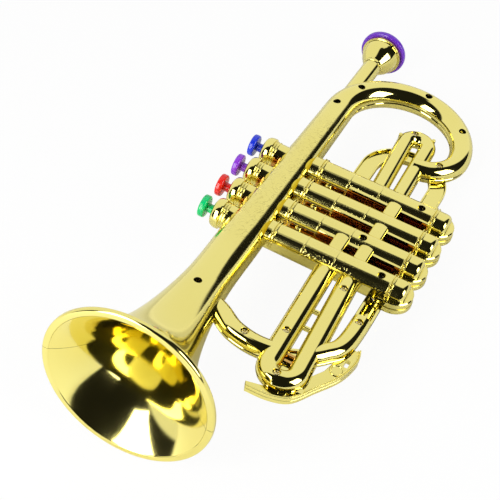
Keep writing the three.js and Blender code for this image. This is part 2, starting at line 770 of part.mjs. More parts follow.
// Reed box: a tray with a plinth for each reed, under a plate with one port per valve.
const boxFromX = firstValveX - padRadius - boxEndRoom;
const boxToX = lastValveX + padRadius + reedLength + boxEndRoom / 2;
const plinthTop = boxFloorY + boxWall + reedThickness;
const reedX = (x) => x + padRadius + fit;

function reedBox() {
  const tray = cut(
    block([boxFromX, boxFloorY, -boxHalfWidth], [boxToX, plateBottomY - fit, boxHalfWidth]),
    block([boxFromX + boxWall, boxFloorY + boxWall, -boxHalfWidth + boxWall],
      [boxToX - boxWall, plateBottomY + overrun, boxHalfWidth - boxWall]),
    block([boxToX - boxWall - overrun, boxFloorY + 2 * boxWall, -boxHalfWidth / 2],
      [boxToX + overrun, plateBottomY - boxWall, boxHalfWidth / 2]),
  );
  const plinths = valveXs.map((x) => block(
    [reedX(x), boxFloorY, -boxHalfWidth + boxWall / 2],
    [reedX(x) + reedFoot, plinthTop, boxHalfWidth - boxWall / 2],
  ));
  const soundHoles = valveXs.map((x) => block(
    [reedX(x) + reedFoot + reedThickness, boxFloorY - overrun, -soundHoleHalfWidth],
    [reedX(x) + reedLength - reedThickness, boxFloorY + boxWall + overrun, soundHoleHalfWidth],
  ));
  return cut(joined(tray, ...plinths), ...soundHoles);
}

function portPlate() {
  const plateTopY = plateBottomY + plateThickness;
  const ports = valveXs.map((x) => moved(
    rod(plateBottomY - overrun, plateTopY + overrun, portRadius, 'y', smallFacets), x, 0, 0,
  ));
  return cut(block([boxFromX, plateBottomY, -boxHalfWidth], [boxToX, plateTopY, boxHalfWidth]), ...ports);
}

function reed(x) {
  const from = reedX(x);
  const bottom = plinthTop + fit;
  return block([from, bottom, -reedWidth / 2], [from + reedLength, bottom + reedThickness, reedWidth / 2]);
}

// Mouthpiece: a shank inside the pipe, a flared body with a cup, and a ring on its lip.
const bodyFromX = pipeEndX + fit;
const cupLipX = bodyFromX + mouthCupLength;
const ringFromX = cupLipX + fit;
const ringToX = ringFromX + ringThickness;

function mouthpiece() {
  const shankRadiusInPipe = pipeRadius - wall - fit;
  const neck = mouthNeckShares.map(([x, r]) => [bodyFromX + x * mouthCupLength, r * mouthNeckRadius]);
  const lip = mouthLipShares.map(([x, r]) => [bodyFromX + x * mouthCupLength, r * mouthCupRadius]);
  const cup = mouthCupShares.map(([x, r]) => [cupLipX - x * mouthCupDepth, r * ringHoleRadius]);
  const profile = [
    [pipeEndX - shankLength, mouthBoreRadius], [pipeEndX - shankLength, shankRadiusInPipe],
    [bodyFromX, shankRadiusInPipe], ...neck, ...lip, ...cup, [cupLipX - mouthCupDepth, mouthBoreRadius],
  ];
  return turned([...profile, profile[0]], 'x', mouthFacets);
}

function mouthRing() {
  const profile = [
    [ringFromX, ringHoleRadius], [ringFromX, ringRadius - ringRound], [ringFromX + ringRound, ringRadius],
    [ringToX - ringRound, ringRadius], [ringToX, ringRadius - ringRound],
    [ringToX, ringHoleRadius + ringRound], [ringToX - ringRound, ringHoleRadius],
  ];
  return turned([...profile, profile[0]], 'x', mouthFacets);
}

// Hook plate: the crescent with a raised outer rim and one round boss
function hookOutline(inset) {
  const onPlate = ([xShare, yShare]) => new THREE.Vector2(
    hookOuterX + xShare * (hookPlateEndX - hookOuterX) + inset,
    -hookTipY - yShare * (hookPlateEndY - hookTipY) + inset,
  );
  const [first, ...rest] = hookOuterShares.map(onPlate);
  const shape = new THREE.Shape().moveTo(first.x, first.y).splineThru(rest);
  hookInnerShares.map(onPlate).forEach((point) => shape.lineTo(point.x, point.y));
  return shape;
}

function hookPlate() {
  const top = -fit / 2;
  const bottom = top - hookThickness;
  const boss = rod(bottom, top - hookRimStep + hookBossHeight, hookBossRadius, 'z', turnedFacets);
  return cut(
    joined(
      cut(plate(hookOutline(0), bottom, top, hookSegments), plate(
        hookOutline(hookRimWidth), top - hookRimStep, overrun, hookSegments,
      )),
      moved(boss, hookBossX, -hookBossY, 0),
    ),
    lowerSlideBody(fit), mainLoopBody(fit),
  );
}

// Assembly
const trumpet = new THREE.Group();

function place(name, body, finish) {
  const mesh = new THREE.Mesh(geometryOf(body), new THREE.MeshStandardMaterial(finish));
  mesh.name = name;
  trumpet.add(mesh);
}

const mainNear = nearSide(lowerSlideEndY, lowerSlideEndHalfPitch);
const mainFar = farSide(lowerSlideEndY, lowerSlideEndHalfPitch);
const upperNear = nearSide(upperSlideEndY, upperSlideEndHalfPitch);
const upperFar = farSide(upperSlideEndY, upperSlideEndHalfPitch);
const mainLoopCover = block([-reach, -reach, -reach], [mainLoopCoverX, reach, reach]);

[['front', 1], ['rear', -1]].forEach(([half, side]) => {
  place(`bell_${half}`, withScrews(bellHalf(side), bellSeats, side), gold);
  place(`horn_tube_${half}`, hornHalf(side), gold);
  place(`curl_${half}`, curlHalf(side), gold);
  place(`valve_block_${half}`, valveBlock(side), gold);
  place(`lower_slide_${half}`, lowerSlide(side), gold);
  place(`upper_slide_${half}`, upperSlide(side), gold);
  place(`main_loop_near_${half}`, mainLoop(side, mainNear), gold);
});
place('main_loop_far_front', mainLoop(1, mainFar).intersect(mainLoopCover), gold);
place('main_loop_far_rear', mainLoop(-1, mainFar), gold);
place('upper_loop_near_rear', upperLoop(-1, upperNear), gold);
place('upper_loop_far_rear', upperLoop(-1, upperFar), gold);
place('hook_plate', hookPlate(), gold);
place('mouthpiece', mouthpiece(), gold);
place('mouthpiece_ring', mouthRing(), purplePlastic);
place('reed_box', reedBox(), whitePlastic);
place('port_plate', portPlate(), whitePlastic);
Object.entries(buttonColors).forEach(([name, color], i) => {
  const x = valveXs[i];
  place(`valve_cap_${i + 1}`, valveCap(x), gold);
  place(`button_${name}`, button(x), { color, roughness: 0.2, metalness: 0 });
  place(`spring_${i + 1}`, spring(x), steel);
  place(`pad_${i + 1}`, pad(x), rubber);
  place(`reed_${i + 1}`, reed(x), brass);
});
[...bellSeats, ...curlSeats, ...blockSeats, ...lowerSeats, ...upperSeats]
  .forEach((seat, i) => place(`screw_${i + 1}`, screw(seat), steel));

// It lies on its side. The pitch brings the bell's rim and the mouthpiece ring level, and the roll
// is the least one at which another point comes down to the plane under them.
const pitch = Math.asin((bellRimRadius - ringRadius) / (ringFromX + ringThickness / 2));

function restingRoll() {
  let roll = Math.PI / 2;
  for (const mesh of trumpet.children) {
    const at = mesh.geometry.attributes.position;
    for (let i = 0; i < at.count; i += 1) {
      const spread = Math.hypot(at.getY(i), at.getZ(i));
      const share = (bellRimRadius - at.getX(i) * Math.tan(pitch)) / spread;
      if (at.getY(i) < 0 && share < rollReachShare) {
        roll = Math.min(roll, Math.asin(share) - Math.atan2(-at.getZ(i), -at.getY(i)));
      }
    }
  }
  return roll;
}

trumpet.rotation.x = restingRoll();
const resting = new THREE.Group();
resting.rotation.y = pitch;
resting.add(trumpet);
const toyTrumpet = new THREE.Group();
toyTrumpet.add(resting);
toyTrumpet.updateMatrixWorld(true);
const bounds = new THREE.Box3().setFromObject(toyTrumpet, true);
resting.position.set(-(bounds.min.x + bounds.max.x) / 2, -(bounds.min.y + bounds.max.y) / 2, -bounds.min.z);

export default toyTrumpet;
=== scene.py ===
"""Looks of the toy trumpet: smooth moulded shells, caps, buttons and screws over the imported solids.

Lengths are millimetres in the trumpet's own frame: X runs from the bell's rim to the mouthpiece, Y
towards the buttons and Z out of the front half, and the two halves meet at z = 0. to_row() lays each
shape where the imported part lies, in metres.
"""
import json

import bmesh
import bpy
import numpy as np
from mathutils import Matrix


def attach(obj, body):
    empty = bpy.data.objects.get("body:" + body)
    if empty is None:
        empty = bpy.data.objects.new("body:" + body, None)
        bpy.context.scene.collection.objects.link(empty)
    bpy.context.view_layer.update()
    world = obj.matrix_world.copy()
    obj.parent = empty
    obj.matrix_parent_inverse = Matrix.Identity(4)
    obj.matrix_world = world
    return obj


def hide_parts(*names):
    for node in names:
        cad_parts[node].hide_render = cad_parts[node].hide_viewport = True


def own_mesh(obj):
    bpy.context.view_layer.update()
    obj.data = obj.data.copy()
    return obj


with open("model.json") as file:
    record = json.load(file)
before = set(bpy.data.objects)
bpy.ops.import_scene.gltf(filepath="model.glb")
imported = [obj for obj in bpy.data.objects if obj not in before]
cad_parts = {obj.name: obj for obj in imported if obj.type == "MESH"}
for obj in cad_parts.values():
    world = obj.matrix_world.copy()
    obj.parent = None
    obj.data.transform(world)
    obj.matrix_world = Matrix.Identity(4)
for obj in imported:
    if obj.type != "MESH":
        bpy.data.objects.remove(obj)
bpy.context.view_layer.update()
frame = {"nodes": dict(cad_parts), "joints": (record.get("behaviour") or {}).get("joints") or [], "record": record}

# The trumpet's own axes in the row's frame: the buttons press along -Y, and the bell's rim faces -X.
# The rim's mount sits at the known point RIM_POINT of the trumpet's frame.
RIM_POINT = np.array([0.12179, 4.965, 50.42])
rim = next(m for m in frame["record"]["mounts"] if m["name"] == "bell_rim")
axis_y = -np.array(frame["joints"][0]["axis"])
axis_x = -np.array(rim["axis"])
AXES = np.column_stack([axis_x, axis_y, np.cross(axis_x, axis_y)])
ORIGIN = 1000 * np.array(rim["pos_m"]) - AXES @ RIM_POINT


def to_row(points):
    """Points in the trumpet's millimetres, turned by its axes and moved to its origin, in metres."""
    return (np.asarray(points, float) @ AXES.T + ORIGIN) / 1000


# Sizes that several shapes use
WALL, SEAM = 1.8, 0.12
RIM_RADIUS, BELL_LENGTH, THROAT, FLARE = 52.2, 88, 14.5, 0.85
HORN_MID, HORN_END, PIPE_END = 142, 285, 341
MID_RADIUS, HORN_END_RADIUS, PIPE_RADIUS = 13.3, 9.7, 6.2
THROAT_SLOPE, MID_SLOPE = 0.097, 0.034
PITCH = 22.8
VALVES = 149.9 + PITCH * np.arange(4)
CASING, CASING_END, COLLAR = 7.3, 103, 8.0
UPPER_COLLAR, LOWER_COLLAR, STEPS = 15.5, 91.5, (36, 56)
STUBS = ((0, 52.5), (0, 68.5), (1, 68.5), (2, 68.5))
WEB_BACK, WEB_FRONT = -3.6, -1.6
SEAT_RADIUS, HEAD_RADIUS, HEAD_HEIGHT = 2.5, 2.1, 1.3


# Bodies: a body is its points, its four-cornered faces and its many-cornered end faces
def grid_body(grid, ring_rows=False):
    """A closed body from a grid of points: its columns run in a ring, and so do its rows, or else its
    first and last rows are filled with one face each."""
    rows, cols = grid.shape[:2]
    i, j = np.meshgrid(np.arange(rows if ring_rows else rows - 1), np.arange(cols), indexing="ij")
    k, m = (i + 1) % rows, (j + 1) % cols
    sides = np.stack([i * cols + j, k * cols + j, k * cols + m, i * cols + m], -1).reshape(-1, 4)
    ends = [] if ring_rows else [np.arange(cols), np.arange((rows - 1) * cols, rows * cols)]
    return grid.reshape(-1, 3), sides, ends


def moved(body, x=0.0, y=0.0, z=0.0):
    """The body shifted by a distance along each axis."""
    points, sides, ends = body
    return points + np.array([x, y, z]), sides, ends


def mesh_of(bodies, name):
    """One mesh of several bodies: doubled points are merged and all faces turned outwards."""
    mesh = bpy.data.meshes.new(name)
    if bodies:
        firsts = np.cumsum([0] + [len(points) for points, _, _ in bodies])
        faces = []
        for (_, sides, ends), first in zip(bodies, firsts):
            faces += (sides + first).tolist() + [(end + first).tolist() for end in ends]
        mesh.from_pydata(to_row(np.concatenate([points for points, _, _ in bodies])), [], faces)
        made = bmesh.new()
        made.from_mesh(mesh)
        bmesh.ops.remove_doubles(made, verts=made.verts, dist=1e-7)
        bmesh.ops.dissolve_degenerate(made, edges=made.edges, dist=1e-7)
        bmesh.ops.recalc_face_normals(made, faces=made.faces)
        made.to_mesh(mesh)
        made.free()
    return mesh


def drilled(body, cutters):
    """The mesh of a body with the cutting bodies taken away."""
    whole = mesh_of([body], "blank")
    if not cutters:
        return whole
    blank = bpy.data.objects.new("blank", whole)
    drill = bpy.data.objects.new("drill", mesh_of(cutters, "drill"))
    for made in (blank, drill):
        bpy.context.scene.collection.objects.link(made)
    cut = blank.modifiers.new("drill", "BOOLEAN")
    cut.operation, cut.solver, cut.object = "DIFFERENCE", "EXACT", drill
    bpy.context.view_layer.update()
    holed = bpy.data.meshes.new_from_object(blank.evaluated_get(bpy.context.evaluated_depsgraph_get()))
    for made in (blank, drill):
        bpy.data.objects.remove(made)
    return holed


def piece(name, bodies, finish, stands_for=(), rides="root", meshes=(), degrees=32):
    """A finished piece from bodies and from meshes that are already in place. Its faces are smooth,
    with edges sharp where the surface turns by more than the angle."""
    mesh = mesh_of(bodies, name)
    if meshes:
        made = bmesh.new()
        for each in (mesh, *meshes):
            made.from_mesh(each)
        made.to_mesh(mesh)
        made.free()
    mesh.polygons.foreach_set("use_smooth", np.ones(len(mesh.polygons), bool))
    mesh.set_sharp_from_angle(angle=np.radians(degrees))
    mesh.materials.clear()
    mesh.materials.append(finish)
    mesh.polygons.foreach_set("material_index", np.zeros(len(mesh.polygons), np.int32))
    made = bpy.data.objects.new(name, mesh)
    bpy.context.scene.collection.objects.link(made)
    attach(made, rides)
    if stands_for:
        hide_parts(*stands_for)
    return made


def mark(made, name, strength):
    """Writes a finish's strength at each point, worked out from its place in the trumpet."""
    places = np.empty(len(made.data.vertices) * 3, np.float32)
    made.data.vertices.foreach_get("co", places)
    own = (places.reshape(-1, 3) * 1000 - ORIGIN) @ AXES
    values = strength(*own.T).astype(np.float32)
    made.data.attributes.new(name, "FLOAT", "POINT").data.foreach_set("value", values)


# Outlines and paths
def rounded(corners, radius, steps=5):
    """A closed outline whose corners P become the curves (1-t)^2 A + 2t(1-t) P + t^2 B. A and B lie on
    the two sides that meet in P, one radius away or at most 0.45 of the side."""
    corners = np.asarray(corners, float)
    radius = np.broadcast_to(radius, len(corners))[:, None]
    ends = []
    for shift in (1, -1):
        side = np.roll(corners, shift, axis=0) - corners
        length = np.linalg.norm(side, axis=1, keepdims=True)
        ends.append(corners + side / length * np.minimum(radius, 0.45 * length))
    t = np.linspace(0, 1, steps)[None, :, None]
    curve = (1 - t) ** 2 * ends[0][:, None] + 2 * t * (1 - t) * corners[:, None] + t ** 2 * ends[1][:, None]
    return curve.reshape(-1, 2)


def line(start, end, steps=24):
    """Points spaced evenly from start to end."""
    return np.linspace(start, end, steps)


def arc(centre, radius, start, end, steps=48):
    """Points round the centre from the start angle to the end angle, in degrees."""
    angle = np.radians(np.linspace(start, end, steps))
    return np.array(centre) + radius * np.column_stack([np.cos(angle), np.sin(angle)])


def spline(points, steps=24):
    """A Catmull-Rom curve: each span is 0.5 (2P1 + (P2-P0)t + (2P0-5P1+4P2-P3)t^2 + (3P1-P0-3P2+P3)t^3)."""
    points = np.asarray(points, float)
    padded = np.vstack([points[:1], points, points[-1:]])
    p0, p1, p2, p3 = (padded[i:len(padded) - 3 + i, None] for i in range(4))
    t = np.linspace(0, 1, steps, endpoint=False)[None, :, None]
    curve = 0.5 * (2 * p1 + (p2 - p0) * t + (2 * p0 - 5 * p1 + 4 * p2 - p3) * t ** 2
                   + (3 * p1 - p0 - 3 * p2 + p3) * t ** 3)
    return np.vstack([curve.reshape(-1, 2), points[-1:]])


def even(points, spacing):
    """The same path with its points one spacing apart, and each point's share of the whole length."""
    points = np.asarray(points, float)
    points = points[np.r_[True, np.linalg.norm(np.diff(points, axis=0), axis=1) > 1e-6]]
    run = np.r_[0, np.cumsum(np.linalg.norm(np.diff(points, axis=0), axis=1))]
    share = np.linspace(0, 1, max(int(run[-1] / spacing), 4) + 1)
    return np.column_stack([np.interp(share * run[-1], run, points[:, k]) for k in (0, 1)]), share


def at_share(path, share):
    """The point of a path at a share of its length."""
    points, shares = even(path, 0.5)
    return [np.interp(share, shares, points[:, k]) for k in (0, 1)]


def kept(path, radius, keep):
    """The stretch of a path that is kept, with the radius still read at the whole path's shares."""
    points, share = even(path, 0.5)
    chosen = np.flatnonzero(keep(*points.T))
    share, points = share[chosen], points[chosen]
    return points, lambda local: radius(np.interp(local, np.linspace(0, 1, len(share)), share))


def slide_path(from_x, to_x, from_y, to_y, from_half, to_half):
    """Two legs and the half-round bend that joins them."""
    turn = -90 if to_x > from_x else 270
    return np.vstack([
        line((from_x, -from_y + from_half), (to_x, -to_y + to_half)),
        arc((to_x, -to_y), to_half, 90, turn),
        line((to_x, -to_y - to_half), (from_x, -from_y - from_half)),
    ])


def across(points):
    """Unit vectors square to a path in its plane, on its left."""
    tangent = np.gradient(points, axis=0)
    tangent /= np.linalg.norm(tangent, axis=1, keepdims=True)
    return np.column_stack([-tangent[:, 1], tangent[:, 0]])


# Surfaces
def turned(profile, axis, segments=72):
    """A closed profile of (along, r) pairs carried round the axis: r cos a and r sin a across it."""
    profile = np.asarray(profile, float)
    angle = np.linspace(0, 2 * np.pi, segments, endpoint=False)
    along = np.broadcast_to(profile[:, 0], (segments, len(profile)))
    u, v = np.outer(np.cos(angle), profile[:, 1]), np.outer(np.sin(angle), profile[:, 1])
    order = {"x": (along, u, v), "y": (v, along, u), "z": (u, v, along)}[axis]
    return grid_body(np.stack(order, -1), ring_rows=True)


def half_turned(profile, axis, side, segments=48, skirt=0.0):
    """The same through half a turn, r cos a across and r sin a up. A skirt of straight wall lifts it,
    and it ends flat at the seam."""
    profile = np.asarray(profile, float)
    angle = np.linspace(0, np.pi, segments + 1)
    lift = np.full(len(angle), skirt)
    if skirt:
        angle, lift = np.r_[0, angle, np.pi], np.r_[0, lift, 0]
    u = np.outer(np.cos(angle), profile[:, 1])
    up = side * np.maximum(np.outer(np.sin(angle), profile[:, 1]) + lift[:, None], SEAM)
    along = np.broadcast_to(profile[:, 0], u.shape)
    return grid_body(np.stack((along, u, up) if axis == "x" else (u, along, up), -1))


def half_tube(path, radius, side, spacing=1.6, segments=24, chamfer=0.35, wall=WALL):
    """A half-round wall carried along a path in the seam's plane. Its section is (r - inset) (cos a, sin a)
    with inset 0 outside and the wall inside, and its outer edges are chamfered at the seam."""
    centre, share = even(path, spacing)
    radius = radius(share) if callable(radius) else np.full(len(share), radius)
    above_seam = 0.07
    angle = np.linspace(above_seam, np.pi - above_seam, segments + 1)
    around = np.r_[0, angle, np.pi, np.linspace(np.pi, 0, segments + 1)]
    inset = np.r_[chamfer, 0 * angle, chamfer, np.full(segments + 1, wall)]
    reach = radius[:, None] - inset
    out = centre[:, None] + across(centre)[:, None] * (reach * np.cos(around))[..., None]
    up = side * np.maximum(reach * np.sin(around), SEAM)
    return grid_body(np.concatenate([out, up[..., None]], -1))


def slab(outline, low, high, bevel=0.35):
    """A plate between two heights whose outline shrinks by the bevel at both faces."""
    outline = np.asarray(outline, float)
    x, y = outline.T
    turning = np.sign(np.sum(x * np.roll(y, -1) - y * np.roll(x, -1)))
    side = np.roll(outline, -1, axis=0) - np.roll(outline, 1, axis=0)
    side /= np.linalg.norm(side, axis=1, keepdims=True)
    inward = turning * np.column_stack([-side[:, 1], side[:, 0]])
    rings = [(low, bevel), (low + bevel, 0), (high - bevel, 0), (high, bevel)]
    grid = [np.column_stack([outline + inward * inset, np.full(len(outline), z)]) for z, inset in rings]
    return grid_body(np.array(grid))


def ridge(path, section, spacing=0.8):
    """A closed section of (across, up) pairs carried along a path at an even height."""
    centre, _ = even(path, spacing)
    section = np.asarray(section, float)
    out = centre[:, None] + across(centre)[:, None] * section[None, :, :1]
    up = np.broadcast_to(section[:, 1:], (len(centre), len(section), 1))
    return grid_body(np.concatenate([out, up], -1))


def block(low, high, bevel=0.3):
    """A block with its upright edges and the edges of its faces eased."""
    (x0, y0, z0), (x1, y1, z1) = low, high
    return slab(rounded([(x0, y0), (x1, y0), (x1, y1), (x0, y1)], bevel, 3), z0, z1, bevel)


def stud(x, y, low, high, radius, rim=0.4):
    """A short round pin with a rounded top edge."""
    outline = rounded([(low, 0), (low, radius), (high, radius), (high, 0)], [0, 0, rim, 0])
    return moved(turned(outline, "z", 32), x, y)


def seat_drill(x, y, z, sink):
    """The sunk seat of a screw, open upwards: a round hole with a flat floor."""
    low, high = z - sink - HEAD_HEIGHT, z + 6
    profile = [(low, 0), (low, SEAT_RADIUS), (high, SEAT_RADIUS), (high, 0)]
    return moved(turned(profile, "z", 32), x, y)


def screw_head(x, y, z, turn):
    """A pan head with a cross recess: its height falls with the fourth power of the radius, and drops
    by the recess where the smaller of |u| and |v| is within the slot."""
    slot_half, slot_reach, recess, crown = 0.32, 1.45, 0.8, 0.45
    r = np.linspace(0, 1, 26)[:, None] * HEAD_RADIUS
    a = np.linspace(0, 2 * np.pi, 72, endpoint=False)
    u, v = np.abs(r * np.cos(a - turn)), np.abs(r * np.sin(a - turn))
    cross = (np.minimum(u, v) < slot_half) & (np.maximum(u, v) < slot_reach)
    top = -crown * (r / HEAD_RADIUS) ** 4 - recess * cross
    grid = np.stack([r * np.cos(a), r * np.sin(a), np.broadcast_to(top, u.shape)], -1)
    foot = grid[-1:] * [1, 1, 0] + [0, 0, -HEAD_HEIGHT]
    return moved(grid_body(np.concatenate([grid, foot])), x, y, z)


deep_heads, shallow_heads = [], []


def seats(*places, heads=deep_heads, sink=2.6):
    """Drills for seats given as (x, y, height of the surface); each seat gets its screw head."""
    heads.extend(screw_head(x, y, z - sink, 0.6 + 0.7 * x) for x, y, z in places)
    return [seat_drill(*place, sink) for place in places]


def shallow_seats(*places):
    """The same for screws that sit close under the surface and shine."""
    return seats(*places, heads=shallow_heads, sink=0.7)


# Materials
def linear(hexa):
    """An sRGB hex colour as linear light: c / 12.92 up to 0.04045, else ((c + 0.055) / 1.055)^2.4."""
    c = np.array([int(hexa[i:i + 2], 16) for i in (1, 3, 5)]) / 255
    return (*np.where(c <= 0.04045, c / 12.92, ((c + 0.055) / 1.055) ** 2.4), 1.0)


def add(tree, kind, settings=None, links=None):
    """One node of the kind, with its properties or sockets set and its sockets linked."""
    made = tree.nodes.new(kind)
    for key, value in (settings or {}).items():
        if isinstance(key, str) and hasattr(made, key):
            setattr(made, key, value)
        else:
            made.inputs[key].default_value = value
    for key, output in (links or {}).items():
        tree.links.new(output, made.inputs[key])
    return made


def blank_material(name):
    """A material with a Principled shader, its output, and the object's own coordinates."""
    made = bpy.data.materials.new(name)
    made.use_nodes = True
    tree = made.node_tree
    tree.nodes.clear()
    shader = add(tree, "ShaderNodeBsdfPrincipled")
    add(tree, "ShaderNodeOutputMaterial", links={"Surface": shader.outputs[0]})
    place = add(tree, "ShaderNodeTexCoord").outputs["Object"]
    return made, tree, shader, place


def metallised_plastic(name, roughness, relief=0.0):
    """Vacuum-metallised ABS: a mirror of pale gold under clear lacquer. The tint drifts over 40 mm, the
    mould leaves a slight swell every 9 mm and a fine peel every 1.6 mm. Where a point's mark is set,
    painted shade turns the gold brown, deep in slots and between close parts. Engraved curls 5 mm apart
    are the paths where a distorted noise crosses its middle value, and their grooves carry painted shade."""
    made, tree, shader, place = blank_material(name)
    drift = add(tree, "ShaderNodeTexNoise", {"Scale": 1 / 0.04, "Detail": 1.5}, {"Vector": place})
    tint = add(tree, "ShaderNodeMix", {"data_type": "RGBA", 6: linear("#EDDF80"), 7: linear("#F4E98F")},
               {0: drift.outputs[0]}).outputs[2]
    # Painted shade: each point's mark mixes in a brown, deep in slots and between close parts.
    painted_shade = add(tree, "ShaderNodeAttribute", {"attribute_name": "painted_shade"}).outputs["Fac"]
    tint = add(tree, "ShaderNodeMix", {"data_type": "RGBA", 7: linear("#C8904A")},
               {0: painted_shade, 6: tint}).outputs[2]
    haze = add(tree, "ShaderNodeTexNoise", {"Scale": 1 / 0.012, "Detail": 3}, {"Vector": place})
    rough = add(tree, "ShaderNodeMapRange", {"To Min": 0.7 * roughness, "To Max": 1.3 * roughness},
                {0: haze.outputs[0]})
    tree.links.new(rough.outputs[0], shader.inputs["Roughness"])
    swell = add(tree, "ShaderNodeTexNoise", {"Scale": 1 / 0.009, "Detail": 0}, {"Vector": place})
    peel = add(tree, "ShaderNodeTexNoise", {"Scale": 1 / 0.0016, "Detail": 1}, {"Vector": place})
    bump = add(tree, "ShaderNodeBump", {"Strength": 1, "Distance": 0.00003}, {"Height": swell.outputs[0]})
    bump = add(tree, "ShaderNodeBump", {"Strength": 1, "Distance": 0.000004},
               {"Height": peel.outputs[0], "Normal": bump.outputs[0]})
    if relief:
        curls = add(tree, "ShaderNodeTexNoise", {"Scale": 1 / 0.005, "Detail": 0, "Distortion": 1.6},
                    {"Vector": place})
        middle = add(tree, "ShaderNodeMath", {"operation": "SUBTRACT", 1: 0.5}, {0: curls.outputs[0]})
        away = add(tree, "ShaderNodeMath", {"operation": "ABSOLUTE"}, {0: middle.outputs[0]})
        groove = add(tree, "ShaderNodeMapRange", {"From Max": 0.035, "To Min": 1.0, "To Max": 0.0},
                     {0: away.outputs[0]})
        where = add(tree, "ShaderNodeAttribute", {"attribute_name": "relief"})
        cut = add(tree, "ShaderNodeMath", {"operation": "MULTIPLY"},
                  {0: groove.outputs[0], 1: where.outputs["Fac"]})
        bump = add(tree, "ShaderNodeBump", {"Strength": 1, "Distance": -relief},
                   {"Height": cut.outputs[0], "Normal": bump.outputs[0]})
        # Painted shade: the grooves are mixed a quarter of the way towards a dark olive.
        share = add(tree, "ShaderNodeMath", {"operation": "MULTIPLY", 1: 0.24}, {0: cut.outputs[0]})
        tint = add(tree, "ShaderNodeMix", {"data_type": "RGBA", 7: linear("#8F7A33")},
                   {0: share.outputs[0], 6: tint}).outputs[2]
    tree.links.new(tint, shader.inputs["Base Color"])
    tree.links.new(bump.outputs[0], shader.inputs["Normal"])
    shader.inputs["Metallic"].default_value = 1.0
    return made


def dyed_plastic(name, deep, light):
    """Injection-moulded ABS, dyed through: glossy and faintly cloudy, with flow marks 6 mm long."""
    made, tree, shader, place = blank_material(name)
    cloud = add(tree, "ShaderNodeTexNoise", {"Scale": 1 / 0.006, "Detail": 2}, {"Vector": place})
    colour = add(tree, "ShaderNodeMix", {"data_type": "RGBA", 6: linear(deep), 7: linear(light)},
                 {0: cloud.outputs[0]})
    tree.links.new(colour.outputs[2], shader.inputs["Base Color"])
    grain = add(tree, "ShaderNodeTexNoise", {"Scale": 1 / 0.0012, "Detail": 2}, {"Vector": place})
    bump = add(tree, "ShaderNodeBump", {"Strength": 1, "Distance": 0.000004}, {"Height": grain.outputs[0]})
    tree.links.new(bump.outputs[0], shader.inputs["Normal"])
    shader.inputs["Roughness"].default_value = 0.2
    shader.inputs["IOR"].default_value = 1.54
    shader.inputs["Subsurface Weight"].default_value = 0.15
    shader.inputs["Subsurface Radius"].default_value = (1.0, 1.0, 1.0)
    shader.inputs["Subsurface Scale"].default_value = 0.002
    return made


def worked_metal(name, colour, roughness, spacing):
    """Plated or rolled metal: fine marks, one spacing apart in metres, break its gloss."""
    made, tree, shader, place = blank_material(name)
    marks = add(tree, "ShaderNodeTexNoise", {"Scale": 1 / spacing, "Detail": 3}, {"Vector": place})
    rough = add(tree, "ShaderNodeMapRange", {"To Min": 0.7 * roughness, "To Max": 1.3 * roughness},
                {0: marks.outputs[0]})
    tree.links.new(rough.outputs[0], shader.inputs["Roughness"])
    bump = add(tree, "ShaderNodeBump", {"Strength": 1, "Distance": 0.000008}, {"Height": marks.outputs[0]})
    tree.links.new(bump.outputs[0], shader.inputs["Normal"])
    shader.inputs["Base Color"].default_value = linear(colour)
    shader.inputs["Metallic"].default_value = 1.0
    return made


def plain_moulding(name, colour, roughness, spacing):
    """Undyed or filled moulding with an even matt grain, one spacing apart in metres."""
    made, tree, shader, place = blank_material(name)
    grain = add(tree, "ShaderNodeTexNoise", {"Scale": 1 / spacing, "Detail": 2}, {"Vector": place})
    bump = add(tree, "ShaderNodeBump", {"Strength": 1, "Distance": 0.00002}, {"Height": grain.outputs[0]})
    tree.links.new(bump.outputs[0], shader.inputs["Normal"])
    shader.inputs["Base Color"].default_value = linear(colour)
    shader.inputs["Roughness"].default_value = roughness
    return made


gold = metallised_plastic("metallised_abs_gold", 0.07)
gold_engraved = metallised_plastic("metallised_abs_gold_engraved", 0.1, relief=0.00004)
zinc = worked_metal("zinc_plated_steel", "#BDBBB2", 0.25, 0.0008)
# Black-zinc screws, whose near-black colour is partly painted shade for the deep seats they sit in.
dark_zinc_and_shade = worked_metal("black_zinc_screws_and_shade", "#2A2620", 0.35, 0.0005)
pale_zinc = worked_metal("yellow_zinc_screws", "#D8CB92", 0.2, 0.0005)
brass = worked_metal("rolled_brass", "#C9A24A", 0.3, 0.0005)
box_plastic = plain_moulding("moulded_white_abs", "#E8E6DF", 0.5, 0.0006)
rubber = plain_moulding("moulded_rubber", "#2B2B2B", 0.85, 0.0004)
ring_plastic = dyed_plastic("dyed_abs_purple_ring", "#6728C0", "#7B38D4")
button_plastics = {
    "green": dyed_plastic("dyed_abs_green", "#00B865", "#10D07A"),
    "red": dyed_plastic("dyed_abs_red", "#DC1A14", "#F02A20"),
    "purple": dyed_plastic("dyed_abs_purple", "#8430CC", "#9B48E0"),
    "blue": dyed_plastic("dyed_abs_blue", "#142CC8", "#2040E4"),
}
finish_of = {"spring": zinc, "screw": dark_zinc_and_shade, "pad": rubber, "port": box_plastic}
for node, made in frame["nodes"].items():
    finish = finish_of.get(node.split("_")[0], gold)
    if node.startswith("reed"):
        finish = box_plastic if node == "reed_box" else brass
    made.data.materials.clear()
    made.data.materials.append(finish)


# Bell and horn, in two halves
FLARE_LENGTH = BELL_LENGTH / ((RIM_RADIUS / THROAT) ** (1 / FLARE) - 1)


def flare(x):
    """The bell's radius falls as a power of the distance: R (1 + x / L)^-p."""
    return RIM_RADIUS * (1 + np.asarray(x, float) / FLARE_LENGTH) ** -FLARE


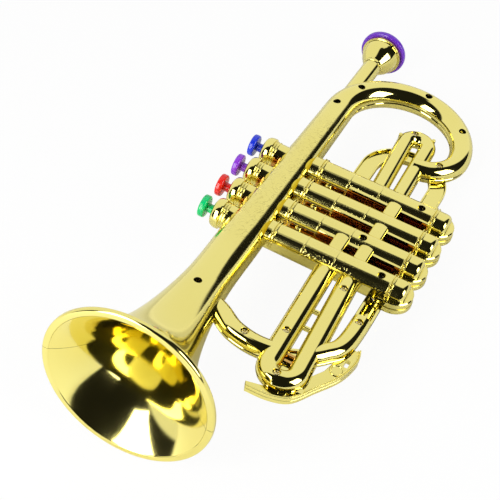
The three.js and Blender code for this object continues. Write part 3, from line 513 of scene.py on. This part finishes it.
def horn_radius(x):
    """A cubic from the throat to the horn's middle, then straight tapers to its slim end."""
    x = np.asarray(x, float)
    span = HORN_MID - BELL_LENGTH
    t = np.clip((x - BELL_LENGTH) / span, 0, 1)
    near = ((2 * t ** 3 - 3 * t ** 2 + 1) * THROAT - THROAT_SLOPE * span * (t ** 3 - 2 * t ** 2 + t)
            + (3 * t ** 2 - 2 * t ** 3) * MID_RADIUS - MID_SLOPE * span * (t ** 3 - t ** 2))
    far = np.interp(x, [HORN_MID, 236, 264, HORN_END], [MID_RADIUS, 10.5, 10.05, HORN_END_RADIUS])
    return np.where(x < HORN_MID, near, far)


def horn_profile():
    """The horn's section: the bell's flat lip with its rolled edge, the flare and the tube, and back
    inside, one wall square to the flare's slope."""
    lip = rounded([(0.6, 47.9), (0.1, 48.3), (0.1, RIM_RADIUS), (3.7, RIM_RADIUS), (4.0, 47.2)],
                  [0.1, 0.25, 2.7, 1.3, 1.2], 11)
    outer_from, inner_from, spread = 4.8, 2.0, np.linspace(0, 1, 60) ** 1.6
    x = outer_from + (BELL_LENGTH - outer_from) * spread
    outer = np.column_stack([x, flare(x)])
    x = inner_from + (BELL_LENGTH - inner_from) * spread
    slope = -FLARE * flare(x) / (FLARE_LENGTH + x)
    inner = np.column_stack([x + WALL * slope / np.hypot(1, slope), flare(x) - WALL / np.hypot(1, slope)])
    tube_x = np.linspace(BELL_LENGTH + 1, HORN_END, 90)
    tube = np.column_stack([tube_x, horn_radius(tube_x)])
    return np.vstack([lip, outer, tube, (tube - [0, WALL])[::-1], inner[::-1]])


def engraved(x, y, z):
    """The band of engraved curls over the top of the horn tube, eased at its ends and sides."""
    ends = np.clip((x - 118) / 14, 0, 1) * np.clip((268 - x) / 10, 0, 1)
    return ends * np.clip((z - 3) / 3, 0, 1) * np.clip((y + 6) / 3, 0, 1)


spring_holes = [moved(turned([(0, 0), (0, 4.4), (20, 4.4), (20, 0)], "y", 32), x) for x in VALVES]
horn_seats = seats((78.6, 0.4, float(flare(78.6))), (281, 2, 9.5))
for half, side in (("front", 1), ("rear", -1)):
    holes = spring_holes + (horn_seats if side > 0 else [])
    shell = drilled(half_turned(horn_profile(), "x", side, 96), holes)
    horn = piece(f"horn_{half}", [], gold_engraved, [f"bell_{half}", f"horn_tube_{half}"],
                 meshes=[shell])
    mark(horn, "relief", engraved)


# Curl and mouthpipe
CURL_RADIUS, HOOK_RADIUS = 42.6, 22.6
curl_path = np.vstack([
    arc((HORN_END, -CURL_RADIUS), CURL_RADIUS, 90, -90, 90),
    arc((HORN_END, -2 * CURL_RADIUS + HOOK_RADIUS), HOOK_RADIUS, -90, -180),
])


def curl_radius(share):
    """Straight tapers from the horn to the side of the curl and on to its end."""
    return np.interp(share, [0, 0.4, 1], [HORN_END_RADIUS, 8.4, 6.7])


curl_seats = seats(*((*at_share(curl_path, s), float(curl_radius(s))) for s in (0.128, 0.418, 0.645)))
curl_seats += shallow_seats((*at_share(curl_path, 0.906), float(curl_radius(0.906))))
pipe = [(HORN_END + 5, PIPE_RADIUS - WALL), (HORN_END + 5, PIPE_RADIUS), (PIPE_END, PIPE_RADIUS),
        (PIPE_END, PIPE_RADIUS - WALL)]
for half, side in (("front", 1), ("rear", -1)):
    tube = half_tube(curl_path, curl_radius, side, segments=32)
    piece(f"curl_tube_{half}", [half_turned(pipe, "x", side)], gold, [f"curl_{half}"],
          meshes=[drilled(tube, curl_seats if side > 0 else [])])


# Valve block: ribbed casings with a wall round their lower ends in front, and behind plain casings
# with the web and its lobed flange
def collars(y):
    """The outline of a double collar from the height y down: two rings with a groove between."""
    steps = [(0, CASING), (0.1, COLLAR), (0.8, COLLAR), (0.9, CASING), (1.6, CASING), (1.7, COLLAR),
             (2.4, COLLAR), (2.5, CASING)]
    return [(-y - step, radius) for step, radius in steps]


def casing_profile(x, ribs=(), steps=()):
    """A casing's outline from just inside the horn's wall to its rounded lower end."""
    top = 1 - float(horn_radius(x))
    bands = {y: collars(y) for y in ribs}
    raised = CASING + 0.15
    bands |= {y: [(-y, CASING), (-y, raised), (-y - 0.8, raised), (-y - 0.8, CASING)] for y in steps}
    middle = [corner for y in sorted(bands) for corner in bands[y]]
    outline = [(top, 0), (top, CASING), *middle, (-CASING_END, CASING), (-CASING_END, 0)]
    outline = rounded(outline, [0, 0, *[0.2] * len(middle), 4.2, 0], 8)
    spans = [np.linspace(a, b, max(int(np.linalg.norm(b - a) / 0.6), 1), endpoint=False)
             for a, b in zip(outline[:-1], outline[1:])]
    return np.vstack([*spans, outline[-1:]])


def crown_height(y):
    """How far a casing's crown stands in front of the seam: it rises towards the lower end."""
    return np.interp(-np.asarray(y, float), [16, 92], [10.5, 11.9])


def barrel(x):
    """A casing's front: a wide crown bend, a side bend down to a groove, and the wall under it. Along a
    bend of radius R the half section grows by R sin a across and falls by R (1 - cos a), and the whole
    section shrinks with the outline's radius."""
    crown_bend, side_bend, crown_turn, side_turn = 10.5, 7.7, 18, 70
    groove_out, groove_down = [-0.4, -0.4, 0.25, 0.4], [-0.25, -0.7, -0.95]
    profile = casing_profile(x, (UPPER_COLLAR, LOWER_COLLAR), STEPS)
    angle = np.radians(np.r_[np.linspace(0, crown_turn, 5), np.linspace(crown_turn + 5, side_turn, 11)])
    wide = np.minimum(angle, np.radians(crown_turn))
    out = crown_bend * np.sin(wide) + side_bend * (np.sin(angle) - np.sin(wide))
    drop = crown_bend * (1 - np.cos(wide)) + side_bend * (np.cos(wide) - np.cos(angle))
    bend = crown_height(profile[:, :1]) - drop
    up = np.hstack([bend, bend[:, -1:] + groove_down, 0 * bend[:, -1:]])
    out = np.r_[out, out[-1] + groove_out]
    scale = profile[:, 1:] / CASING
    sideways = scale * np.r_[-out[::-1], out[1:]]
    up = np.maximum(scale * np.hstack([up[:, ::-1], up[:, 1:]]), SEAM)
    return grid_body(np.stack([x + sideways, np.broadcast_to(profile[:, :1], up.shape), up], -1))


def stub(index, y, side):
    """A short cross tube between two casings: half-round behind, and in front a flat crown on upright
    walls with wide bends between."""
    start, end = VALVES[index] + 3, VALVES[index + 1] - 3
    half, foot, wall, top = 4.7, 0.1, 9.7, 10.4
    if side < 0:
        return moved(half_turned([(start, 0), (start, half), (end, half), (end, 0)], "x", side, 32), y=-y)
    corners = [(-half, foot), (-half, wall), (0, top), (half, wall), (half, foot)]
    section = rounded(corners, [0, 2, 3.6, 2, 0], 7)
    return ridge(line((start, -y), (end, -y)), section)


def lobes(radius, centre_y, top_y):
    """The flange's edge: an arc round each casing's lower end, from one side's top to the other's."""
    cusp = np.degrees(np.arccos(min(PITCH / 2 / radius, 1)))
    arcs = [arc((x, -centre_y), radius, 180 + (cusp if k else 0), 360 - (cusp if k < 3 else 0), 40)
            for k, x in enumerate(VALVES)]
    return np.vstack([[(VALVES[0] - radius, -top_y)], *arcs, [(VALVES[3] + radius, -top_y)]])


def crown(k, y):
    """A screw's place on the crown of a casing."""
    return VALVES[k] - 0.9, -y, float(crown_height(-y)) - 0.1


casing_seats = {k: seats(crown(k, y), sink=1.3) for k, y in ((0, 84.8), (1, 63.3), (3, 83.4))}
ledges = [block((x - 9, -92, 6.8), (x - 6, -38, 8.5), 0.25) for x in VALVES[1:]]
barrels = [drilled(barrel(x), casing_seats.get(k, [])) for k, x in enumerate(VALVES)]
bosses = [stud(x - 8.2, -25.3, 0.2, 3.6, 2.2, 1.2) for x in VALVES[1:]]
end_wall = slab(lobes(11.55, 95, 88), -0.15, 4.2, 0.6)
block_front = piece("valves_front", [end_wall], gold_engraved, ["valve_block_front"],
                    meshes=barrels)
piece("valve_stubs", [*(stub(i, y, 1) for i, y in STUBS), *bosses, *ledges], gold)


def off_axis(x):
    """The distance from the nearest valve's axis, across the block."""
    return np.abs((x - VALVES[0] + PITCH / 2) % PITCH - PITCH / 2)


def slot_shade(x, y, z):
    """Painted shade: 1 deep in the slots between the casings, 0 on their crowns and outside the block."""
    inside = (x > VALVES[0] + 5) & (x < VALVES[3] - 5) & (y < -14) & (y > -92)
    top = np.where(y > -37, 4.2, 6.9)
    return inside * (off_axis(x) > 6.5) * np.clip((top - z) / 0.3, 0, 1) * (z > -2.6)


def engraved_band(x, y, z):
    """The rougher engraving on the casings' upper sides."""
    return 0.6 * ((y < -36) & (y > -72)) * np.clip((11 - z) / 3, 0.3, 1)


mark(block_front, "relief", engraved_band)
# Painted shade in the slots between the front casings.
mark(block_front, "painted_shade", slot_shade)
flange = lobes(11.9, 95, 86.4)
flange_rim = rounded([(0, WEB_BACK), (1.4, WEB_BACK), (1.4, -0.15), (0, -0.15)], 0.35)
block_rear = piece("valves_rear", [
    *(moved(half_turned(casing_profile(x), "y", -1), x) for x in VALVES),
    *(stub(i, y, -1) for i, y in STUBS),
    block((VALVES[0], -95, WEB_BACK), (VALVES[3], -18.4, WEB_FRONT)),
    slab(flange, WEB_BACK, WEB_FRONT),
    ridge(flange, flange_rim),
], gold, ["valve_block_rear"])
# The same painted shade in the slots behind.
mark(block_rear, "painted_shade", slot_shade)


# Slides
LOWER, UPPER = 6.6, 5.6
UPPER_BEND_X, UPPER_BEND_Y = 282.6, 56.6
lower_path = slide_path(VALVES[0], 60.7, 60.6, 64.9, 7.7, 8.9)
upper_path = slide_path(VALVES[3], UPPER_BEND_X, 59.4, UPPER_BEND_Y, 6.7, 7.5)
lower_seats = shallow_seats(*((*at_share(lower_path, s), LOWER) for s in (0.325, 0.495, 0.91)))
upper_seats = shallow_seats((*at_share(upper_path, 0.47), UPPER))
slot_bars = [block((x, -74, -3.4), (x + 1.8, -54, -0.15)) for x in (96.4, 111.2)]
slot_floor = block((55, -71, -2.6), (79, -58, -1.4))
slot_steps = [block((x, -68, -1.6), (x + 2.2, -61, 0.8)) for x in (66, 71)]
lugs = [stud(UPPER_BEND_X + 3, -UPPER_BEND_Y + 12.4, -3, 3, 1.3),
        stud(UPPER_BEND_X + 10.8, -UPPER_BEND_Y - 8, -3, 3, 1.3)]


def lower_slot_shade(x, y, z):
    """Painted shade: brown between the lower slide's legs, at its bend's end."""
    return (x < 80) * (np.abs(y + 64.5) < 3.4) * (z > -2.7) * 0.8


piece("lower_slide_tube_front", [], gold, ["lower_slide_front"],
      meshes=[drilled(half_tube(lower_path, LOWER, 1), lower_seats)])
slide_rear = piece("lower_slide_tube_rear",
                   [half_tube(lower_path, LOWER, -1), *slot_bars, slot_floor, *slot_steps],
                   gold, ["lower_slide_rear"])
# Painted shade between the slide's legs.
mark(slide_rear, "painted_shade", lower_slot_shade)
piece("upper_slide_tube_front", lugs, gold, ["upper_slide_front"],
      meshes=[drilled(half_tube(upper_path, UPPER, 1), upper_seats)])
piece("upper_slide_tube_rear", [half_tube(upper_path, UPPER, -1)], gold,
      ["upper_slide_rear"])


# Loops: the main one beside the lower slide, and the open trough behind the upper slide
LOOP_SHARES = np.array([(0.13, 0.18), (0.03, 0.34), (0, 0.54), (0.065, 0.76), (0.2, 0.91), (0.39, 0.995),
                        (1, 1)])
main_path = spline(np.vstack([[(84, 0)], LOOP_SHARES * [82.1, -87.3] + [67.8, 0]]))


def main_radius(share):
    """A straight taper from the bell to the first valve."""
    return 6.6 - 0.9 * share


# The rear runs whole. The front stops on both sides of the lower slide, which crosses it.
near_path, near_radius = kept(main_path, main_radius, lambda x, y: (y < -12) & (y > -76))
far_path, far_radius = kept(main_path, main_radius, lambda x, y: (y < -70) & (x < 143))
front_path, front_radius = kept(main_path, main_radius, lambda x, y: (y < -12) & (y > -56))
cover_path, cover_radius = kept(main_path, main_radius, lambda x, y: (y < -73) & (x < 119))
near_seat = near_path[np.argmin(np.abs(near_path[:, 1] + 36))]
near_tube = drilled(half_tube(front_path, front_radius, 1), shallow_seats((*near_seat, 6.3)))
cover_tube = drilled(half_tube(cover_path, cover_radius, 1), shallow_seats((113, -87.3, 5.9)))
piece("main_loop_front", [], gold, ["main_loop_near_front", "main_loop_far_front"],
      meshes=[near_tube, cover_tube])
piece("main_loop_rear", [half_tube(near_path, near_radius, -1), half_tube(far_path, far_radius, -1)],
      gold, ["main_loop_near_rear", "main_loop_far_rear"])
trough_from, trough_to, trough_near, trough_far = VALVES[3] + 6.5, 249, -37.8, -83.8
trough_path = np.vstack([
    line((trough_from, trough_near), (trough_to, trough_near)), arc((trough_to, -60.8), 23, 90, -90),
    line((trough_to, trough_far), (trough_from, trough_far)),
])
trough = [(-5.6, -0.2), (-5.6, -3.6), (5.6, -3.6), (5.6, -0.2),
          (4.7, -0.2), (4.7, -2.6), (-4.7, -2.6), (-4.7, -0.2)]
piece("upper_loop_trough", [ridge(trough_path, rounded(trough, 0.3, 4))], gold,
      ["upper_loop_near_rear", "upper_loop_far_rear"])


# Hook plate round the end of the lower slide
OUTER = np.array([(0, 0.04), (0.015, 0.33), (0.1, 0.58), (0.33, 0.76), (0.6, 0.95), (0.85, 1.02), (1, 0.98)])
INNER = np.array([(1, 0.84), (0.6, 0.72), (0.3, 0.5), (0.12, 0.2), (0.08, 0)])
HOOK_FROM, HOOK_TO = np.array([38.3, -50.5]), np.array([98.3, -97.1])
outer_edge = spline(HOOK_FROM + OUTER * (HOOK_TO - HOOK_FROM), 12)
hook_outline = np.vstack([outer_edge, HOOK_FROM + INNER * (HOOK_TO - HOOK_FROM)])
hook_rim = rounded([(0, -1.4), (1.9, -1.4), (1.9, 0.2), (1.2, 0.2), (1.1, -0.3), (0.8, -0.3), (0.7, 1),
                    (0, 1)], 0.2)
boss = rounded([(-3, 0), (-3, 4.3), (-0.6, 4.3), (-0.6, 3.4), (-1.0, 3.2), (-1.0, 0)],
               [0, 0, 0.3, 0.2, 0.2, 0])
window = block((83.2, -94.2, -9), (89.2, -91.6, 4), 0.5)
piece("hook_plate_web", [
    ridge(outer_edge, hook_rim),
    moved(turned(boss, "z", 48), 78.3, -90),
    block((50, -81.5, -3), (54, -77.5, 0.6)),
    block((44.5, -73.5, -1.4), (50, -69, -0.5)),
], gold, ["hook_plate"], meshes=[drilled(slab(hook_outline, -4.35, -1.15), [window])])


# Caps, buttons and springs
CAP = [(6, 4.4), (6, 8.1), (14.4, 8.1), (14.5, 8.5), (15, 8.5), (15.1, 8.1), (16, 8.1), (16.1, 8.5),
       (16.6, 8.5), (16.7, 8.1), (17.6, 8.1), (17.6, 9.5), (20.9, 9.5), (23.4, 8.3), (24.3, 5), (24.3, 3.1),
       (21.3, 3.1), (21.3, 4.4)]
CAP_ROUND = [0, 0, *[0.25] * 8, 0.3, 0.5, 1.7, 1.9, 1.7, 0.3, 0, 0]
BUTTON = [(0.5, 0), (0.5, 1.5), (6.1, 1.5), (6.1, 2.75), (19.8, 2.75), (19.8, 4.3), (21, 4.3), (21, 2.75),
          (28.5, 2.75), (28.5, 7), (32.5, 7), (32.2, 0)]
BUTTON_ROUND = [0, 0, 0, 0, 0, 0, 0, 0, 0.5, 1.2, 1.3, 0]


def coil(x, low, high, radius=3.4, wire=0.35, turns=4):
    """A round wire whose centre climbs evenly round the stem: R cos a and R sin a across, with a full
    turn for each quarter of the height."""
    t = np.linspace(0, 1, turns * 32 + 1)[:, None]
    a, b = 2 * np.pi * turns * t, np.linspace(0, 2 * np.pi, 12, endpoint=False)
    reach = radius + wire * np.cos(b)
    grid = np.stack([x + reach * np.cos(a), low + (high - low) * t + wire * np.sin(b), reach * np.sin(a)], -1)
    return grid_body(grid)


def shade_between_caps(x, y, z):
    """Painted shade: 1 on the caps' lower sides where two of them stand close together."""
    return (off_axis(x) > 5.8) * (x > VALVES[0]) * (x < VALVES[3]) * (y < 14.2) * (z < 5.6)


for k, (colour, x) in enumerate(zip(button_plastics, VALVES), 1):
    cap = piece(f"cap_{k}", [moved(turned(rounded(CAP, CAP_ROUND), "y"), x)], gold,
                [f"valve_cap_{k}"])
    # Painted shade where the caps stand close together.
    mark(cap, "painted_shade", shade_between_caps)
    piece(f"press_button_{colour}", [moved(turned(rounded(BUTTON, BUTTON_ROUND, 7), "y"), x)],
          button_plastics[colour], [f"button_{colour}"], rides=f"{colour}_button")
    wire = piece(f"coil_spring_{k}", [coil(x, 2.7, 19.1)], zinc, [f"spring_{k}"])
    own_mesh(wire)


# Mouthpiece, its ring and the screws. There are 8 sunk and 7 shallow heads for the solids' 12 screws,
# and the sunk ones stand for all of them.
LIP = 360.3
mouth_profile = [
    (329, 2.2), (329, 4.1), (341.3, 4.1), (341.3, 6.7), (343.4, 6.7), (343.6, 7), (347.4, 9.2),
    (352, 11.6), (356.4, 12.5), (357.6, 12.6), (357.7, 13.7), (LIP, 13.7), (LIP, 10.8), (356.5, 9.3),
    (352, 6), (349.3, 2.2),
]
mouth_round = [0, 0, 0, 0.4, 0.2, 1, 4, 4, 1, 0.2, 0.5, 0.6, 0.6, 3, 3, 1]
ring_profile = [(LIP + 0.3, 10.8), (LIP + 0.3, 15.9), (LIP + 4.28, 15.9), (LIP + 4.28, 10.8)]
piece("mouthpiece_cup", [turned(rounded(mouth_profile, mouth_round, 7), "x", 96)], gold,
      ["mouthpiece"])
piece("mouth_ring", [turned(rounded(ring_profile, [0.8, 1.4, 1.4, 1.4], 8), "x", 96)], ring_plastic,
      ["mouthpiece_ring"])
piece("sunk_screw_heads", deep_heads, dark_zinc_and_shade, [f"screw_{k}" for k in range(1, 13)])
piece("shallow_screw_heads", shallow_heads, pale_zinc)


# Studio: white paper, two softboxes on the camera's side, a white room behind and a dark one in front
def heading(azimuth, elevation):
    """A direction in the trumpet's frame, by azimuth from +X and elevation in degrees, in the row's."""
    a, e = np.radians(azimuth), np.radians(elevation)
    return AXES @ np.array([np.cos(e) * np.cos(a), np.cos(e) * np.sin(a), np.sin(e)])


def facing(at, towards, roll=0.0):
    """The placement of a lamp or camera at a point, looking along a direction, turned by a roll."""
    back = -towards / np.linalg.norm(towards)
    right = np.cross([0, 0, 1], back)
    right /= np.linalg.norm(right)
    placed = np.eye(4)
    placed[:3, :3] = np.column_stack([right, np.cross(back, right), back])
    placed[:3, 3] = at
    return Matrix(placed.tolist()) @ Matrix.Rotation(np.radians(roll), 4, "Z")


def softbox(name, direction, distance, width, height, power, roll=0.0):
    """A flat lamp in that direction from the trumpet's middle, facing it."""
    lamp = bpy.data.lights.new(name, "AREA")
    lamp.shape, lamp.size, lamp.size_y, lamp.energy = "RECTANGLE", width, height, power
    made = bpy.data.objects.new(name, lamp)
    bpy.context.scene.collection.objects.link(made)
    made.matrix_world = facing(np.array([0, 0, 0.05]) + direction * distance, -direction, roll)


softbox("left_softbox", heading(153.9, 15.7), 0.84, 0.36, 0.84, 6.3, 13)
softbox("right_softbox", heading(-97, 35), 2.2, 1.25, 1.35, 33)

# The paper shades as paper. The camera sees it mixed with an even white, and so do reflections far out.
paper, tree, shader, place = blank_material("white_paper")
fibre = add(tree, "ShaderNodeTexNoise", {"Scale": 1 / 0.004, "Detail": 2}, {"Vector": place})
tone = add(tree, "ShaderNodeMix", {"data_type": "RGBA", 6: linear("#F0F0EE"), 7: linear("#F4F4F2")},
           {0: fibre.outputs[0]})
tree.links.new(tone.outputs[2], shader.inputs["Base Color"])
shader.inputs["Roughness"].default_value = 0.9
shader.inputs["Specular IOR Level"].default_value = 0.1
bright = add(tree, "ShaderNodeEmission", {"Strength": 1.0})
rays = add(tree, "ShaderNodeLightPath")
reach = add(tree, "ShaderNodeVectorMath", {"operation": "LENGTH"}, {0: place})
far = add(tree, "ShaderNodeMapRange", {"From Min": 0.4, "From Max": 1.0, "To Max": 0.95},
          {0: reach.outputs["Value"]})
mirrored = add(tree, "ShaderNodeMath", {"operation": "MULTIPLY"},
               {0: rays.outputs["Is Glossy Ray"], 1: far.outputs[0]})
seen = add(tree, "ShaderNodeMath", {"operation": "MULTIPLY", 1: 0.94}, {0: rays.outputs["Is Camera Ray"]})
seen = add(tree, "ShaderNodeMath", {"operation": "ADD"}, {0: seen.outputs[0], 1: mirrored.outputs[0]})
both = add(tree, "ShaderNodeMixShader",
           links={0: seen.outputs[0], 1: shader.outputs[0], 2: bright.outputs[0]})
tree.links.new(both.outputs[0], next(n for n in tree.nodes if n.type == "OUTPUT_MATERIAL").inputs["Surface"])
sheet = bpy.data.meshes.new("floor")
sheet.from_pydata([(-6, -6, 0), (6, -6, 0), (6, 6, 0), (-6, 6, 0)], [], [(0, 1, 2, 3)])
sheet.materials.append(paper)
floor = bpy.data.objects.new("floor", sheet)
bpy.context.scene.collection.objects.link(floor)

# The room is white on the mouthpiece's and the buttons' side, up to just short of the zenith, and dark
# in front and overhead. The camera always sees white.
world = bpy.data.worlds.new("studio")
bpy.context.scene.world = world
world.use_nodes = True
sky = world.node_tree
sky.nodes.clear()
ray = add(sky, "ShaderNodeTexCoord").outputs["Generated"]
level = None
room_edges = ((heading(62, 0), -0.03, 0.05), (heading(28, 0), -0.03, 0.05), (-heading(0, 90), -0.985, -0.965))
for normal, low, high in room_edges:
    side = add(sky, "ShaderNodeVectorMath", {"operation": "DOT_PRODUCT", 1: tuple(normal)}, {0: ray})
    edge = add(sky, "ShaderNodeMapRange",
               {"interpolation_type": "SMOOTHSTEP", "From Min": low, "From Max": high},
               {0: side.outputs["Value"]})
    if level:
        edge = add(sky, "ShaderNodeMath", {"operation": "MULTIPLY"},
                   {0: level.outputs[0], 1: edge.outputs[0]})
    level = edge
room = add(sky, "ShaderNodeMapRange", {"To Min": 0.012, "To Max": 0.92}, {0: level.outputs[0]})
rays = add(sky, "ShaderNodeLightPath")
level = add(sky, "ShaderNodeMath", {"operation": "MAXIMUM"},
            {0: room.outputs[0], 1: rays.outputs["Is Camera Ray"]})
back = add(sky, "ShaderNodeBackground", {"Color": (1, 1, 1, 1)}, {"Strength": level.outputs[0]})
add(sky, "ShaderNodeOutputWorld", links={"Surface": back.outputs[0]})

# Camera, worked out from the photograph's perspective
CAMERA_AT = (-473.7, -188.0, 613.4)
CAMERA_RIGHT, CAMERA_DOWN = np.array([0.436, -0.883, 0.173]), np.array([-0.58, -0.423, -0.697])
right = AXES @ CAMERA_RIGHT / np.linalg.norm(CAMERA_RIGHT)
up = -AXES @ CAMERA_DOWN
up -= right * (up @ right)
up /= np.linalg.norm(up)
lens = bpy.data.cameras.new("camera")
lens.lens, lens.sensor_width, lens.sensor_fit = 108, 36, "HORIZONTAL"
lens.clip_start, lens.clip_end = 0.01, 50
camera = bpy.data.objects.new("camera", lens)
bpy.context.scene.collection.objects.link(camera)
placed = np.eye(4)
placed[:3, :] = np.column_stack([right, up, np.cross(right, up), to_row([CAMERA_AT])[0]])
camera.matrix_world = Matrix(placed.tolist())
bpy.context.scene.camera = camera
bpy.context.scene.view_settings.view_transform = "Standard"
